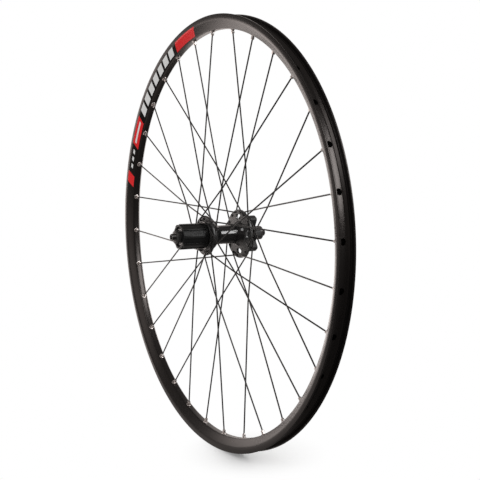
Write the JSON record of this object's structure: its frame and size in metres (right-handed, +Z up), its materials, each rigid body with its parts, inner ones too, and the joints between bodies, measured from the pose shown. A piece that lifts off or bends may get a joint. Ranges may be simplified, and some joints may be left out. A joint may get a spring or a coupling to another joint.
{
  "type": "bicycle rear wheel",
  "caption": "Rear bicycle wheel without tyre: black double-wall rim laced with crossed spokes to a disc-brake hub with a splined cassette body.",
  "frame": {"origin": "centre of the wheel on the axle, midway between the dropout faces", "axes": "+Y along the axle towards the brake side, +X forwards, +Z up"},
  "size_m": [0.5959, 0.146, 0.596],
  "materials": {
    "rim_black": "satin black anodised",
    "spoke_black": "semi-gloss black oxide",
    "nipple_silver": "bright nickel plate",
    "hub_black": "gloss black anodised",
    "freehub_black": "satin black plate",
    "cap_black": "satin black anodised",
    "axle_steel": "dark oiled steel",
    "bearing_steel": "ground",
    "tool_steel": "hardened",
    "sleeve_aluminium": "turned"
  },
  "bodies": {
    "axle": {"axle": "axle_steel", "freehub_sleeve": "sleeve_aluminium", "drive_sleeve": "sleeve_aluminium", "drive_end_cap": "cap_black", "disc_end_cap": "cap_black"},
    "wheel": {"rim": "rim_black", "eyelets": "nipple_silver", "spoke_nipples": "nipple_silver", "hub_shell": "hub_black", "hub_bearings": "bearing_steel", "ratchet_ring": "tool_steel", "spoke_01": "spoke_black", "spoke_02": "spoke_black", "spoke_03": "spoke_black", "spoke_04": "spoke_black", "spoke_05": "spoke_black", "spoke_06": "spoke_black", "spoke_07": "spoke_black", "spoke_08": "spoke_black", "spoke_09": "spoke_black", "spoke_10": "spoke_black", "spoke_11": "spoke_black", "spoke_12": "spoke_black", "spoke_13": "spoke_black", "spoke_14": "spoke_black", "spoke_15": "spoke_black", "spoke_16": "spoke_black", "spoke_17": "spoke_black", "spoke_18": "spoke_black", "spoke_19": "spoke_black", "spoke_20": "spoke_black", "spoke_21": "spoke_black", "spoke_22": "spoke_black", "spoke_23": "spoke_black", "spoke_24": "spoke_black", "spoke_25": "spoke_black", "spoke_26": "spoke_black", "spoke_27": "spoke_black", "spoke_28": "spoke_black", "spoke_29": "spoke_black", "spoke_30": "spoke_black", "spoke_31": "spoke_black", "spoke_32": "spoke_black"},
    "freehub": {"freehub_body": "freehub_black", "freehub_bearings": "bearing_steel", "pawls": "tool_steel", "pawl_springs": "tool_steel"}
  },
  "joints": [
    {"name": "wheel_spin", "type": "hinge", "parent": "axle", "child": "wheel", "pos_m": [0, 0, 0], "axis": [0, 1, 0], "continuous": true},
    {"name": "freehub_spin", "type": "hinge", "parent": "axle", "child": "freehub", "pos_m": [0, 0, 0], "axis": [0, 1, 0], "continuous": true}
  ]
}
